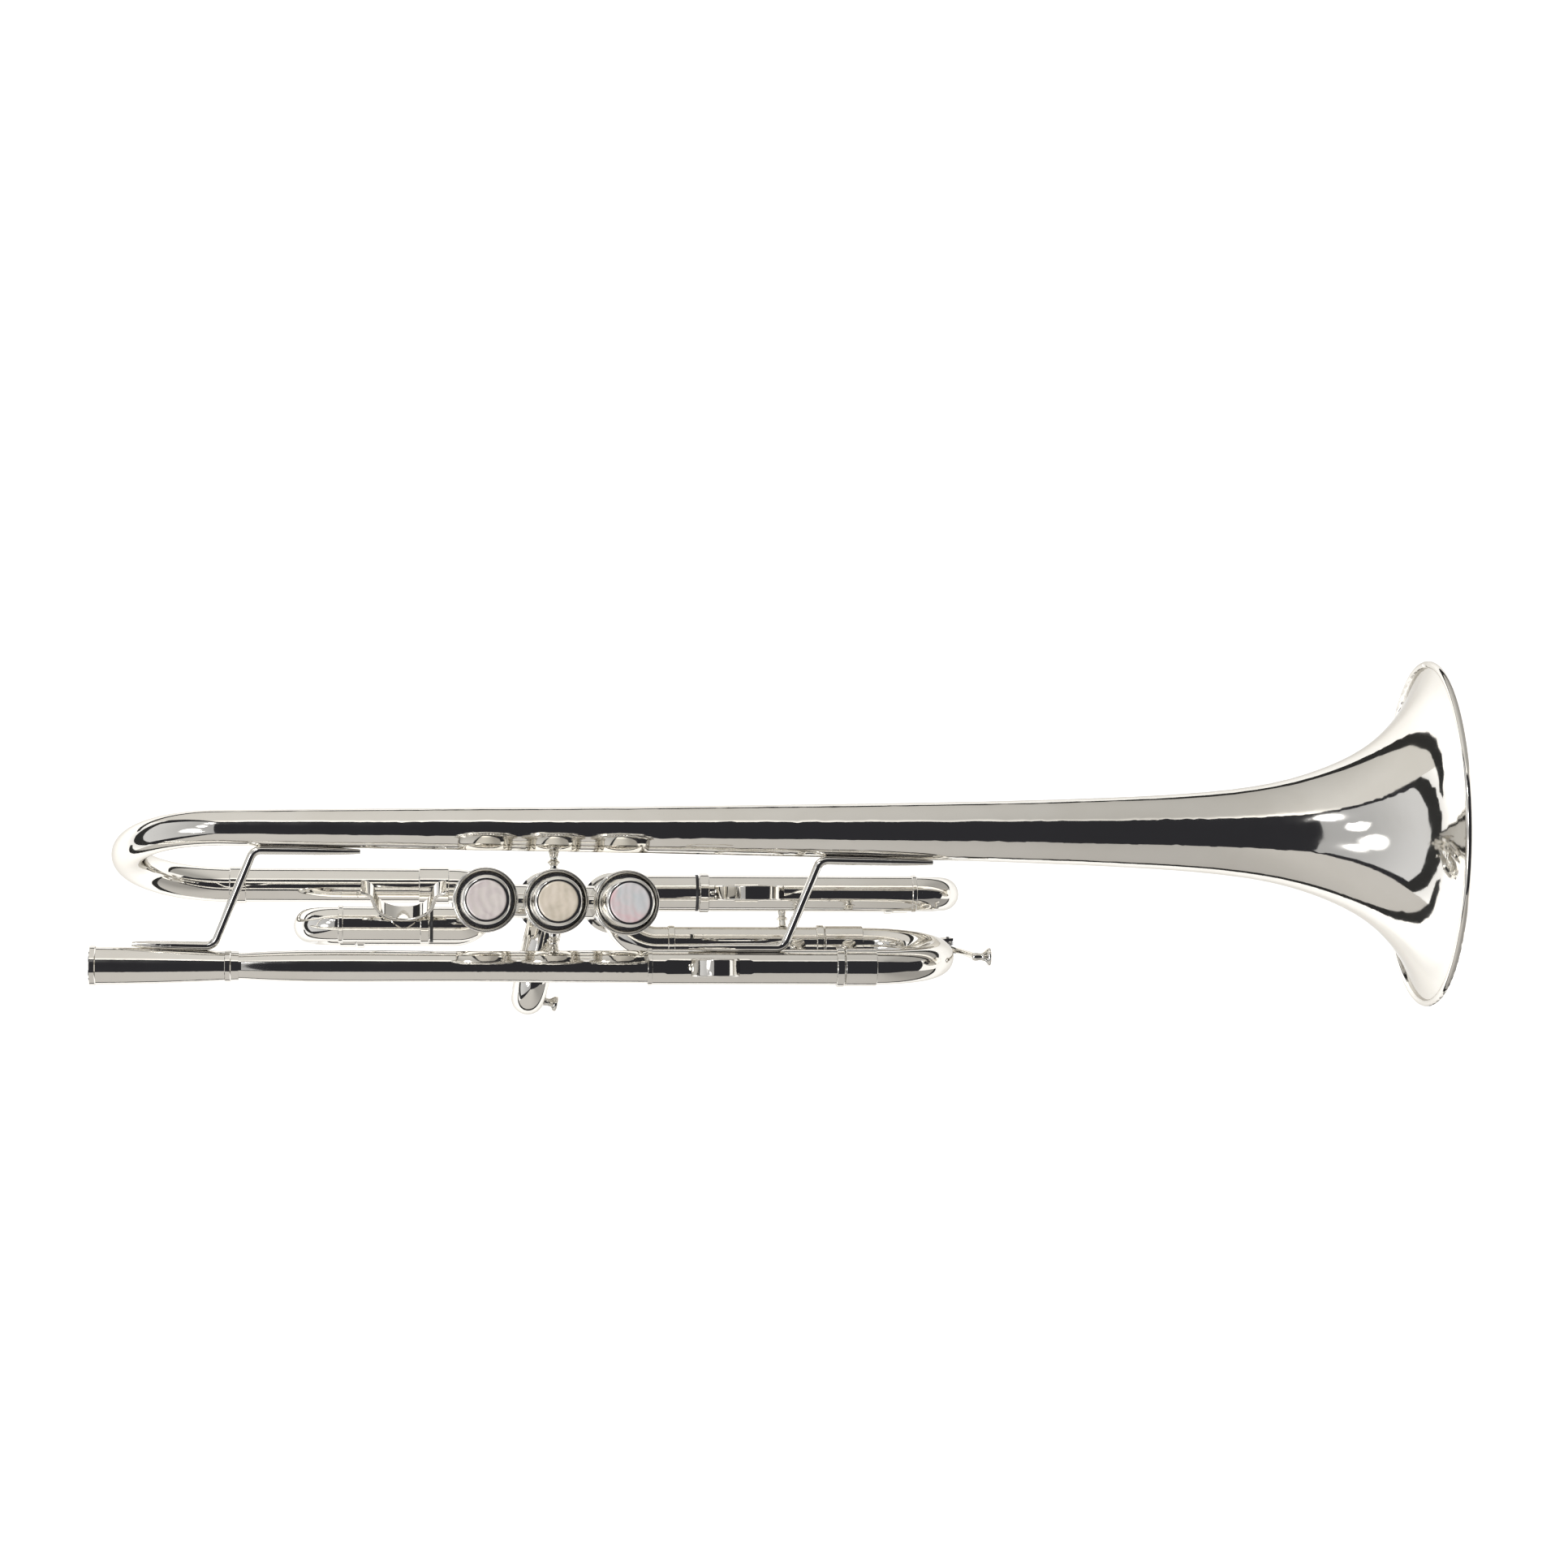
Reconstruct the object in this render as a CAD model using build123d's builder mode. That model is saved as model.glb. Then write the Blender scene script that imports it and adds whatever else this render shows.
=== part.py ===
"""Standard B-flat trumpet, silver plated, three top-sprung piston valves.

Frame: origin at the centre of the mouthpiece receiver's mouth.
+X runs along the leadpipe towards the bell, +Y is the player's left (bell side),
+Z points up out of the finger buttons. Units are millimetres.
"""
import math
import os

from build123d import *

os.makedirs("parts", exist_ok=True)

# ---------------------------------------------------------------- main layout
BELL_Y = 48.0            # bell axis, beside the leadpipe at the same height
BELL_RIM_X = 472.0       # front plane of the bell rim
BOW_X = 44.7             # where the rear bow leaves both bell tubes
TAIL_Y = 28.5            # lower bell tube
TAIL_Z = -65.0
TUNE_Y = 7.7             # lower leg of the main tuning slide
TUNE_Z = -48.0
VALVE_X = (136.2, 160.3, 184.4)
VALVE_Y = (23.2, 22.8, 22.4)

# ---------------------------------------------------------------- tubing
WALL = 0.5
SLEEVE_R = 6.25          # outer slide tubes, outside
SLEEVE_BORE = 5.75       # outer slide tubes, inside
LEG_R = 5.71             # inner slide tubes, a running fit in the sleeves
LEG_BORE = 5.25
CROOK_R = 6.05
CROOK_BORE = 5.5
FERRULE_R = 6.65
END_RING_R = 6.95
GAP = 0.3                # air between a closed slide and the part it stops on

# ---------------------------------------------------------------- valves
CASING_R = 9.7
CASING_BORE = 8.5
CASING_TOP = 30.0
CASING_BOTTOM = -84.0
PISTON_R = 8.45
PISTON_WALL = 0.7
PISTON_BOTTOM = -71.2
PISTON_TOP = 2.0
BARREL_TOP = 29.3
STROKE = 16.0
CAP_R = 11.2
CAP_TOP = 35.0
CAP_WELL_R = 9.95
BUTTON_R = 8.25
BUTTON_TOP = 56.9
PEARL_R = 6.75
STEM_R = 2.3
PORT_R = 5.6

# port heights
KNUCKLE_Z = -57.0
FIRST_Y = 14.5
FIRST_LOW_Y = 12.8
FIRST_Z = -28.0
FIRST_LOW_Z = -54.0
SECOND_Z = -28.0
SECOND_LOW_Z = -52.0
THIRD_Y = 26.1
THIRD_Z = -30.0
THIRD_LOW_Z = -56.0
SECOND_SWING = 13.0      # second slide leans this many degrees towards the player

# slide ends along X
TUNE_RING_X = 262.4
TUNE_LOW_RING_X = 259.7
TUNE_CROOK_X = 273.9
THIRD_RING_X = 213.2
THIRD_CROOK_X = 291.4
FIRST_RING_X = 117.0
FIRST_CROOK_X = 84.8


# ---------------------------------------------------------------- helpers
def tube(start, end, outer, bore):
    """A straight round tube between two points."""
    a = Vector(*start)
    b = Vector(*end)
    with BuildPart() as piece:
        with BuildSketch(Plane(origin=a, z_dir=b - a)):
            Circle(outer)
            if bore > 0:
                Circle(bore, mode=Mode.SUBTRACT)
        extrude(amount=(b - a).length)
    return piece.part


def bent_tube(path, outer, bore):
    """A round tube swept along a smooth path."""
    with BuildPart() as piece:
        with BuildSketch(Plane(origin=path @ 0, z_dir=path % 0)):
            Circle(outer)
            if bore > 0:
                Circle(bore, mode=Mode.SUBTRACT)
        sweep(path=path)
    return piece.part


def turned(start, end, stations):
    """A turned piece between two points; stations are (fraction of length, radius)."""
    a = Vector(*start)
    b = Vector(*end)
    length = (b - a).length
    side = Vector(0, 0, 1)
    if abs((b - a).normalized().Z) > 0.9:
        side = Vector(1, 0, 0)
    work = Plane(origin=a, x_dir=(b - a), z_dir=(b - a).cross(side))
    with BuildPart() as piece:
        with BuildSketch(work):
            with BuildLine():
                Polyline((0, 0), (0, stations[0][1]))
                Spline(*[(length * f, r) for f, r in stations])
                Polyline((length, stations[-1][1]), (length, 0), (0, 0))
            make_face()
        revolve(axis=Axis(a, b - a))
    return piece.part


def elbow_path(tube_x, y, z, index, side):
    """Centre line of a slide tube that turns into the side of a valve casing.

    side is -1 for a tube behind the valve and +1 for one in front of it."""
    radius = VALVE_Y[index] - y
    bend_x = VALVE_X[index] + side * radius
    with BuildLine() as path:
        Line((tube_x, y, z), (bend_x, y, z))
        TangentArc((bend_x, y, z), (VALVE_X[index], VALVE_Y[index], z), tangent=(-side, 0, 0))
    return path.wires()[0]


def u_path(x, y0, z0, y1, z1, reach, corner):
    """Centre line of a slide crook: out along X, across, and back."""
    a = Vector(x, y0, z0)
    b = Vector(x, y1, z1)
    out = Vector(reach, 0, 0)
    with BuildLine() as path:
        FilletPolyline(a, a + out, b + out, b, radius=corner)
    return path.wires()[0]


def patch(x, y, z, pipe_r, thick, half_x, half_y, pointed=False):
    """A leaf shaped flange, round ended or pointed, lying on the top of a tube that runs along X."""
    with BuildPart() as piece:
        with BuildSketch(Plane(origin=(x - half_x - 1, y, z), x_dir=(0, 1, 0), z_dir=(1, 0, 0))):
            Circle(pipe_r + thick)
            Circle(pipe_r, mode=Mode.SUBTRACT)
        extrude(amount=2 * half_x + 2)
        with BuildSketch(Plane.XY.offset(z)):
            with Locations((x, y)):
                if pointed:
                    Polygon((-half_x, 0), (-half_x * 0.5, -half_y), (half_x * 0.5, -half_y),
                            (half_x, 0), (half_x * 0.5, half_y), (-half_x * 0.5, half_y))
                else:
                    Ellipse(half_x, half_y)
        extrude(amount=pipe_r + thick + 1, mode=Mode.INTERSECT)
    return piece.part


def baluster(start, end, foot, waist):
    """A small turned stay with a spread foot at each end and a ball in the middle."""
    stations = [(0, foot), (0.10, foot * 0.62), (0.28, waist), (0.42, waist * 1.05),
                (0.50, waist * 1.55), (0.58, waist * 1.05), (0.72, waist),
                (0.90, foot * 0.62), (1.0, foot)]
    return turned(start, end, stations)


def ring(x0, x1, y, z, outer, bore, soft=0.35):
    """A collar round a tube that runs along X, with softened edges."""
    with BuildPart() as piece:
        with BuildSketch(Plane(origin=(x0, y, z), x_dir=(0, 1, 0), z_dir=(1, 0, 0))):
            Circle(outer)
        extrude(amount=x1 - x0)
        fillet(piece.edges(), soft)
        with BuildSketch(Plane(origin=(x0 - 1, y, z), x_dir=(0, 1, 0), z_dir=(1, 0, 0))):
            Circle(bore)
        extrude(amount=x1 - x0 + 2, mode=Mode.SUBTRACT)
    return piece.part


def valve_blank(index):
    """The solid outside shape of one valve casing, used to cope tubes onto it."""
    x = VALVE_X[index]
    y = VALVE_Y[index]
    return tube((x, y, CASING_BOTTOM - 5), (x, y, CASING_TOP + 2), CASING_R, 0)


# ---------------------------------------------------------------- mouthpiece receiver
RECEIVER_END = 51.3
RECEIVER_BORE = 4.95
RECEIVER_DEPTH = 22.5
LEADPIPE_START = 24.0
LEADPIPE_R0 = 4.55

with BuildPart() as receiver_blank:
    with BuildSketch():
        with BuildLine():
            Polyline((0, 0), (0, 6.75), (0.25, 6.95), (2.0, 6.95), (2.3, 6.55))
            Spline((2.3, 6.55), (16.0, 6.35), (34.0, 5.75), (46.5, 5.15))
            Polyline((46.5, 5.15), (46.7, 5.55), (48.4, 5.55), (48.7, 5.15),
                     (RECEIVER_END, 5.05), (RECEIVER_END, 0), (0, 0))
        make_face()
    revolve(axis=Axis.X)

receiver_mouth = tube((-1, 0, 0), (RECEIVER_DEPTH, 0, 0), RECEIVER_BORE, 0)
receiver_through = tube((RECEIVER_DEPTH - 1, 0, 0), (60, 0, 0), LEADPIPE_R0, 0)

with BuildPart() as mouthpiece_receiver:
    add(receiver_blank.part)
    add(receiver_mouth, mode=Mode.SUBTRACT)
    add(receiver_through, mode=Mode.SUBTRACT)

# ---------------------------------------------------------------- leadpipe
SLEEVE_START = 193.2
LEADPIPE_END = 202.0

with BuildPart() as leadpipe_blank:
    with BuildSketch():
        with BuildLine():
            Polyline((LEADPIPE_START, 0), (LEADPIPE_START, LEADPIPE_R0), (52.3, LEADPIPE_R0))
            Spline((52.3, LEADPIPE_R0), (58.0, 4.9), (120.0, 5.4), (180.0, 5.72),
                   (SLEEVE_START - 1, SLEEVE_BORE))
            Polyline((SLEEVE_START - 1, SLEEVE_BORE), (LEADPIPE_END, SLEEVE_BORE),
                     (LEADPIPE_END, 0), (LEADPIPE_START, 0))
        make_face()
    revolve(axis=Axis.X)

with BuildPart() as leadpipe_core:
    with BuildSketch():
        with BuildLine():
            Polyline((LEADPIPE_START - 1, 0), (LEADPIPE_START - 1, 4.1), (52.3, 4.1))
            Spline((52.3, 4.1), (58.0, 4.4), (120.0, 4.9), (180.0, 5.2), (SLEEVE_START - 1, 5.25))
            Polyline((SLEEVE_START - 1, 5.25), (LEADPIPE_END + 1, 5.25),
                     (LEADPIPE_END + 1, 0), (LEADPIPE_START - 1, 0))
        make_face()
    revolve(axis=Axis.X)

with BuildPart() as leadpipe:
    add(leadpipe_blank.part)
    add(leadpipe_core.part, mode=Mode.SUBTRACT)

# ---------------------------------------------------------------- fixed tuning sleeves
upper_sleeve_tube = tube((SLEEVE_START, 0, 0), (TUNE_RING_X, 0, 0), SLEEVE_R, SLEEVE_BORE)
upper_end_ring = ring(TUNE_RING_X - 2.8, TUNE_RING_X, 0, 0, END_RING_R, SLEEVE_BORE)
upper_seam = ring(SLEEVE_START, SLEEVE_START + 1.6, 0, 0, SLEEVE_R + 0.3, SLEEVE_BORE, 0.12)

with BuildPart() as tuning_sleeve_upper:
    add(upper_sleeve_tube)
    add(upper_end_ring)
    add(upper_seam)

tuning_path = elbow_path(TUNE_LOW_RING_X, TUNE_Y, TUNE_Z, 2, 1)
lower_sleeve_tube = bent_tube(tuning_path, SLEEVE_R, SLEEVE_BORE)
lower_end_ring = ring(TUNE_LOW_RING_X - 2.8, TUNE_LOW_RING_X, TUNE_Y, TUNE_Z, END_RING_R, SLEEVE_BORE)
lower_collar = ring(203.0, 205.5, TUNE_Y, TUNE_Z, FERRULE_R, SLEEVE_BORE)
casing_blank = [valve_blank(0), valve_blank(1), valve_blank(2)]

with BuildPart() as tuning_sleeve_lower:
    add(lower_sleeve_tube)
    add(lower_end_ring)
    add(lower_collar)
    add(casing_blank[2], mode=Mode.SUBTRACT)

# ---------------------------------------------------------------- bell
BELL_WALL = 0.5
BEAD_R = 1.25
BEAD_X = BELL_RIM_X - 1.1
BEAD_RING_R = 60.35
RIM_WIRE_R = 0.6
TAIL_R = 6.2
# distance behind the rim and outside radius of the flare
FLARE = [(1.1, 59.6), (4.5, 51.2), (12.0, 40.6), (22.0, 31.6), (36.0, 24.2), (55.0, 18.2),
         (78.0, 14.7), (110.0, 12.5), (150.0, 10.95), (210.0, 9.5), (290.0, 8.1),
         (360.0, 7.2), (BELL_RIM_X - BOW_X, TAIL_R)]


def flare_points(shift):
    """Points of the bell flare in (X, radius), moved inwards by a wall thickness."""
    points = []
    for i, (d, r) in enumerate(FLARE):
        d0, r0 = FLARE[max(i - 1, 0)]
        d1, r1 = FLARE[min(i + 1, len(FLARE) - 1)]
        run = math.hypot(d1 - d0, r1 - r0)
        inward_x = shift * (r0 - r1) / run
        inward_r = shift * (d1 - d0) / run
        points.append((BELL_RIM_X - d + inward_x, r - inward_r))
    return points


def flare_solid(shift, front, back):
    """The solid inside a flare surface, closed by flat ends."""
    points = flare_points(shift)
    with BuildPart() as piece:
        with BuildSketch(Plane(origin=(0, BELL_Y, 0))):
            with BuildLine():
                Line((front, 0), (front, points[0][1]))
                if front > points[0][0]:
                    Line((front, points[0][1]), points[0])
                Spline(*points)
                if back < points[-1][0]:
                    Line(points[-1], (back, points[-1][1]))
                Polyline((back, points[-1][1]), (back, 0), (front, 0))
            make_face()
        revolve(axis=Axis((0, BELL_Y, 0), (1, 0, 0)))
    return piece.part


bell_blank = flare_solid(0, flare_points(0)[0][0], BOW_X)
bell_core = flare_solid(BELL_WALL, BELL_RIM_X + 2, BOW_X - 2)

with BuildPart() as rim_bead:
    with BuildSketch(Plane(origin=(0, BELL_Y, 0))):
        with Locations((BEAD_X, BEAD_RING_R)):
            Circle(BEAD_R)
            Circle(RIM_WIRE_R, mode=Mode.SUBTRACT)
        with Locations((BELL_RIM_X + 2, BEAD_RING_R)):
            Rectangle(4, 6, mode=Mode.SUBTRACT)
    revolve(axis=Axis((0, BELL_Y, 0), (1, 0, 0)))

with BuildPart() as bell:
    add(bell_blank)
    add(bell_core, mode=Mode.SUBTRACT)
    add(rim_bead.part)

with BuildPart() as bell_rim_wire:
    with BuildSketch(Plane(origin=(0, BELL_Y, 0))):
        with Locations((BEAD_X, BEAD_RING_R)):
            Circle(RIM_WIRE_R)
    revolve(axis=Axis((0, BELL_Y, 0), (1, 0, 0)))

# ---------------------------------------------------------------- rear bow and bell tail
bow_drop = math.hypot(BELL_Y - TAIL_Y, TAIL_Z)
bow_middle = (BOW_X - bow_drop / 2, (BELL_Y + TAIL_Y) / 2, TAIL_Z / 2)
with BuildLine() as bow_path:
    ThreePointArc((BOW_X, BELL_Y, 0), bow_middle, (BOW_X, TAIL_Y, TAIL_Z))
bow_tube = bent_tube(bow_path.wires()[0], TAIL_R, TAIL_R - BELL_WALL)

with BuildPart() as rear_bow:
    add(bow_tube)

TAIL_FERRULE = (113.1, 124.0)
with BuildLine() as tail_path:
    Line((BOW_X, TAIL_Y, TAIL_Z), (125.0, TAIL_Y, TAIL_Z))
    TangentArc((125.0, TAIL_Y, TAIL_Z), (VALVE_X[0] + 1, VALVE_Y[0] + 2.6, TAIL_Z), tangent=(1, 0, 0))
tail_tube = bent_tube(tail_path.wires()[0], TAIL_R, TAIL_R - BELL_WALL)
tail_ferrule = ring(*TAIL_FERRULE, TAIL_Y, TAIL_Z, FERRULE_R + 0.15, TAIL_R - 0.2, 0.3)
tail_joint = ring(BOW_X, BOW_X + 6.0, TAIL_Y, TAIL_Z, FERRULE_R, TAIL_R - 0.2, 0.3)

with BuildPart() as bell_tail:
    add(tail_tube)
    add(tail_ferrule)
    add(tail_joint)
    add(casing_blank[0], mode=Mode.SUBTRACT)

# ---------------------------------------------------------------- valve ports
# each port: height, direction it leaves the casing (degrees from +X), bore radius
swing = -90.0 - SECOND_SWING
PORTS = (
    ((TAIL_Z, 165.0), (KNUCKLE_Z, 0.0), (FIRST_Z, -90.0), (FIRST_LOW_Z, -90.0)),
    ((KNUCKLE_Z, 180.0), (KNUCKLE_Z, 0.0), (SECOND_Z, swing), (SECOND_LOW_Z, swing)),
    ((KNUCKLE_Z, 180.0), (TUNE_Z, -90.0), (THIRD_Z, 14.0), (THIRD_LOW_Z, 14.0)),
)
GUIDE_BOTTOM = 3.0
GUIDE_TOP = 5.0
GUIDE_R = 7.3
LUG_REACH = 9.0
LUG_WIDTH = 4.0
SLOT_WIDTH = 4.6
PLATE_BOTTOM = 27.8


def port_cutter(index, z, angle, depth, radius, from_r):
    """A round cutter pointing into a valve from one side, stopping depth from the axis."""
    x = VALVE_X[index]
    y = VALVE_Y[index]
    c = math.cos(math.radians(angle))
    s = math.sin(math.radians(angle))
    return tube((x + from_r * c, y + from_r * s, z), (x + depth * c, y + depth * s, z), radius, 0)


def make_casing(index):
    """One valve casing: tube, thread shoulders, side ports and the guide's two keyways."""
    x = VALVE_X[index]
    y = VALVE_Y[index]
    cutters = [port_cutter(index, z, a, 0, PORT_R, 12) for z, a in PORTS[index]]
    with BuildPart() as piece:
        with BuildSketch(Plane.XY.offset(CASING_BOTTOM)):
            with Locations((x, y)):
                Circle(CASING_R)
                Circle(CASING_BORE, mode=Mode.SUBTRACT)
        extrude(amount=CASING_TOP - CASING_BOTTOM)
        for cutter in cutters:
            add(cutter, mode=Mode.SUBTRACT)
        with BuildSketch(Plane.XY.offset(GUIDE_BOTTOM - 0.05)):
            with Locations((x, y)):
                Rectangle(2 * LUG_REACH, LUG_WIDTH + 0.1)
        extrude(amount=GUIDE_TOP - GUIDE_BOTTOM + 0.1, mode=Mode.SUBTRACT)
    return piece.part


def make_top_cap(index):
    """A valve's top cap: threaded skirt, floor with the stem hole, well for the button."""
    x = VALVE_X[index]
    y = VALVE_Y[index]
    with BuildPart() as piece:
        with BuildSketch(Plane(origin=(x, y, 0), x_dir=(1, 0, 0), z_dir=(0, -1, 0))):
            with BuildLine():
                Polyline((CASING_R, 24.6), (CASING_R, CASING_TOP), (3.0, CASING_TOP),
                         (3.0, CASING_TOP + 1.4), (CAP_WELL_R - 0.6, CASING_TOP + 1.4),
                         (CAP_WELL_R, CASING_TOP + 2.0), (CAP_WELL_R, CAP_TOP - 0.5))
                ThreePointArc((CAP_WELL_R, CAP_TOP - 0.5), (CAP_WELL_R + 0.5, CAP_TOP),
                              (CAP_R - 0.25, CAP_TOP - 0.9))
                Polyline((CAP_R - 0.25, CAP_TOP - 0.9), (CAP_R - 0.25, CAP_TOP - 1.4),
                         (CAP_R - 0.75, CAP_TOP - 1.9), (CAP_R - 0.75, CAP_TOP - 3.4),
                         (CAP_R - 0.25, CAP_TOP - 3.9), (CAP_R, CAP_TOP - 4.3), (CAP_R, CAP_TOP - 7.7),
                         (CAP_R - 0.3, CAP_TOP - 8.1), (CAP_R - 0.8, CAP_TOP - 8.5),
                         (CAP_R - 0.8, 24.9), (CAP_R - 1.1, 24.6), (CASING_R, 24.6))
            make_face()
        revolve(axis=Axis((x, y, 0), (0, 0, 1)))
    return piece.part


def make_bottom_cap(index):
    """A valve's bottom cap: threaded skirt, floor and vented nipple."""
    x = VALVE_X[index]
    y = VALVE_Y[index]
    with BuildPart() as piece:
        with BuildSketch(Plane(origin=(x, y, 0), x_dir=(1, 0, 0), z_dir=(0, -1, 0))):
            with BuildLine():
                Polyline((CASING_R, -77.6), (CASING_R, CASING_BOTTOM), (9.0, CASING_BOTTOM),
                         (9.0, -88.2), (1.2, -88.2), (1.2, -93.0), (2.6, -93.0), (3.4, -92.2),
                         (3.4, -91.0), (2.7, -90.3), (7.2, -89.6), (CAP_R - 1.0, -88.9),
                         (CAP_R - 0.4, -88.2), (CAP_R - 0.8, -87.7), (CAP_R - 0.8, -86.9),
                         (CAP_R, -86.3), (CAP_R, -80.6), (CAP_R - 0.8, -79.9),
                         (CAP_R - 0.8, -77.9), (CAP_R - 1.1, -77.6), (CASING_R, -77.6))
            make_face()
        revolve(axis=Axis((x, y, 0), (0, 0, 1)))
    return piece.part


def make_guide(index):
    """The piston guide: a disc with two lugs that key into the casing."""
    x = VALVE_X[index]
    y = VALVE_Y[index]
    with BuildPart() as piece:
        with BuildSketch(Plane.XY.offset(GUIDE_BOTTOM)):
            with Locations((x, y)):
                Circle(GUIDE_R)
                Rectangle(2 * LUG_REACH - 0.1, LUG_WIDTH)
                Circle(3.2, mode=Mode.SUBTRACT)
        extrude(amount=GUIDE_TOP - GUIDE_BOTTOM)
    return piece.part


def make_piston(index):
    """A piston: thin shell with port mouths, one open passage, and the slotted barrel."""
    x = VALVE_X[index]
    y = VALVE_Y[index]
    inlet, outlet = PORTS[index][0], PORTS[index][1]
    lowered = [(z + STROKE, a) for z, a in PORTS[index]]
    cups = [port_cutter(index, z, a, 4.6, PORT_R + 0.5, 10) for z, a in lowered]
    cup_bores = [port_cutter(index, z, a, 5.1, PORT_R, 10) for z, a in lowered]
    passages = [port_cutter(index, z, a, -1, PORT_R + 0.5, 10) for z, a in (inlet, outlet)]
    passage_bores = [port_cutter(index, z, a, -1, PORT_R, 10) for z, a in (inlet, outlet)]
    low = min(inlet[0], outlet[0])
    high = max(inlet[0], outlet[0])
    if high - low > 1:
        passages.append(tube((x, y, low), (x, y, high), PORT_R + 0.3, 0))
        passage_bores.append(tube((x, y, low), (x, y, high), PORT_R - 0.2, 0))
    with BuildPart() as hollow:
        with BuildSketch(Plane.XY.offset(PISTON_BOTTOM - 1)):
            with Locations((x, y)):
                Circle(PISTON_R - PISTON_WALL)
        extrude(amount=PISTON_TOP - 1.4 - PISTON_BOTTOM + 1)
        for solid in cups + passages:
            add(solid, mode=Mode.SUBTRACT)
    with BuildPart() as piece:
        with BuildSketch(Plane.XY.offset(PISTON_BOTTOM)):
            with Locations((x, y)):
                Circle(PISTON_R)
        extrude(amount=BARREL_TOP - PISTON_BOTTOM)
        add(hollow.part, mode=Mode.SUBTRACT)
        with BuildSketch(Plane.XY.offset(PISTON_TOP)):
            with Locations((x, y)):
                Circle(PISTON_R - PISTON_WALL)
        extrude(amount=PLATE_BOTTOM - PISTON_TOP, mode=Mode.SUBTRACT)
        with BuildSketch(Plane.XY.offset(PLATE_BOTTOM - 1)):
            with Locations((x, y)):
                Circle(STEM_R)
        extrude(amount=BARREL_TOP - PLATE_BOTTOM + 2, mode=Mode.SUBTRACT)
        for bore in cup_bores + passage_bores:
            add(bore, mode=Mode.SUBTRACT)
        with BuildSketch(Plane.XY.offset(GUIDE_BOTTOM - 0.4)):
            with Locations((x, y)):
                Rectangle(24, SLOT_WIDTH)
        extrude(amount=STROKE + GUIDE_TOP - GUIDE_BOTTOM + 0.9, mode=Mode.SUBTRACT)
    return piece.part


def make_stem(index):
    """The stem that joins a piston barrel to its finger button."""
    x = VALVE_X[index]
    y = VALVE_Y[index]
    return tube((x, y, PLATE_BOTTOM), (x, y, 54.4), STEM_R, 0)


def make_button(index):
    """A finger button: dished metal cup with a seat for the inlay."""
    x = VALVE_X[index]
    y = VALVE_Y[index]
    with BuildPart() as piece:
        with BuildSketch(Plane(origin=(x, y, 0), x_dir=(1, 0, 0), z_dir=(0, -1, 0))):
            with BuildLine():
                Polyline((STEM_R, 54.4), (STEM_R, 51.5), (3.9, 51.5), (4.2, 51.9))
                Spline((4.2, 51.9), (4.9, 53.0), (7.2, 54.0), (BUTTON_R, 55.0))
                ThreePointArc((BUTTON_R, 55.0), (BUTTON_R + 0.12, 55.6), (BUTTON_R - 0.1, 56.2))
                ThreePointArc((BUTTON_R - 0.1, 56.2), (7.5, 56.8), (PEARL_R, BUTTON_TOP))
                Polyline((PEARL_R, BUTTON_TOP), (PEARL_R, 55.3), (0, 55.3), (0, 54.4), (STEM_R, 54.4))
            make_face()
        revolve(axis=Axis((x, y, 0), (0, 0, 1)))
    return piece.part


def make_pearl(index):
    """The mother of pearl inlay, with a softened edge."""
    x = VALVE_X[index]
    y = VALVE_Y[index]
    with BuildPart() as piece:
        with BuildSketch(Plane.XY.offset(55.3)):
            with Locations((x, y)):
                Circle(PEARL_R)
        extrude(amount=2.0)
        fillet(piece.edges().group_by(Axis.Z)[-1], 0.6)
    return piece.part


def make_felt(index):
    """The felt washer under a finger button."""
    x = VALVE_X[index]
    y = VALVE_Y[index]
    return tube((x, y, 48.2), (x, y, 51.5), 5.6, STEM_R)


SPRING_R = 6.3
SPRING_WIRE = 0.4


def make_spring(index):
    """The open coil spring between the guide and the barrel's top plate."""
    x = VALVE_X[index]
    y = VALVE_Y[index]
    bottom = GUIDE_TOP + SPRING_WIRE + 0.05
    top = PLATE_BOTTOM - SPRING_WIRE - 0.05
    with BuildPart() as piece:
        with BuildLine(Plane(origin=(x, y, bottom))) as coil:
            Helix(pitch=(top - bottom) / 8, height=top - bottom, radius=SPRING_R)
        with BuildSketch(Plane(origin=coil.wires()[0] @ 0, z_dir=coil.wires()[0] % 0)):
            Circle(SPRING_WIRE)
        sweep(path=coil.wires()[0], is_frenet=True)
    return piece.part


valve_makers = (
    ("valve_casing", make_casing),
    ("top_cap", make_top_cap),
    ("bottom_cap", make_bottom_cap),
    ("valve_guide", make_guide),
    ("piston", make_piston),
    ("valve_stem", make_stem),
    ("finger_button", make_button),
    ("button_pearl", make_pearl),
    ("button_felt", make_felt),
    ("valve_spring", make_spring),
)
valve_pieces = {}
for number in (1, 2, 3):
    for piece_name, maker in valve_makers:
        made = maker(number - 1)
        with BuildPart() as valve_piece:
            add(made)
        valve_pieces[f"{piece_name}_{number}"] = valve_piece

# ---------------------------------------------------------------- tubes between the valves
first_knuckle = tube((VALVE_X[0], VALVE_Y[0], KNUCKLE_Z), (VALVE_X[1], VALVE_Y[1], KNUCKLE_Z), 6.1, PORT_R)
second_knuckle = tube((VALVE_X[1], VALVE_Y[1], KNUCKLE_Z), (VALVE_X[2], VALVE_Y[2], KNUCKLE_Z), 6.1, PORT_R)

upper_spacer_1 = tube((VALVE_X[0], VALVE_Y[0], 14), (VALVE_X[1], VALVE_Y[1], 14), 2.4, 0)
upper_spacer_2 = tube((VALVE_X[1], VALVE_Y[1], 14), (VALVE_X[2], VALVE_Y[2], 14), 2.4, 0)

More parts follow.
